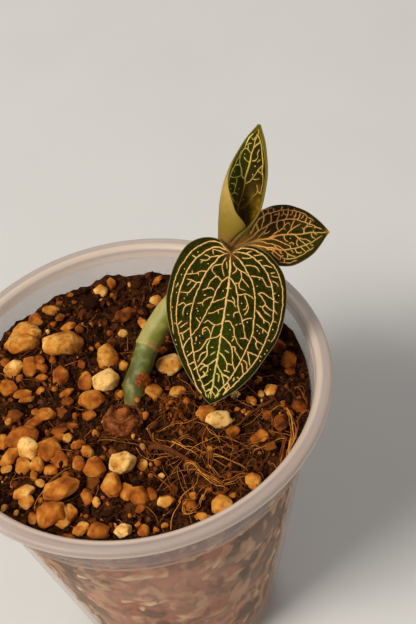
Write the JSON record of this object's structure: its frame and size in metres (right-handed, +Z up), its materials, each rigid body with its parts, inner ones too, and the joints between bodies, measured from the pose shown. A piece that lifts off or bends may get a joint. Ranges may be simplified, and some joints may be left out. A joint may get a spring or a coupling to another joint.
{
  "type": "potted jewel orchid",
  "caption": "Young jewel orchid with netted heart-shaped leaves on a creeping stem, in a milky see-through plastic pot filled with bark, fibre and stones.",
  "frame": {"origin": "centre of the pot's flat base, on the surface that it stands on", "axes": "+Z up through the pot, -Y towards the side that the large leaf faces, +X towards the side leaf"},
  "size_m": [0.0962, 0.09, 0.1311],
  "materials": {
    "pot_plastic": "milky see-through polypropylene, satin",
    "bark_mix": "damp dark bark and fibre crumb",
    "stem_skin": "smooth waxy green skin with dry sheath scars",
    "leaf_blade": "dark velvety green with raised pale gold veins",
    "young_blade": "soft olive, velvety inside and smooth outside"
  },
  "bodies": {
    "root": {"pot": "pot_plastic", "potting_mix": "bark_mix", "stem": "stem_skin", "leaf_front": "leaf_blade", "leaf_side": "leaf_blade", "leaf_young": "young_blade"}
  },
  "joints": []
}
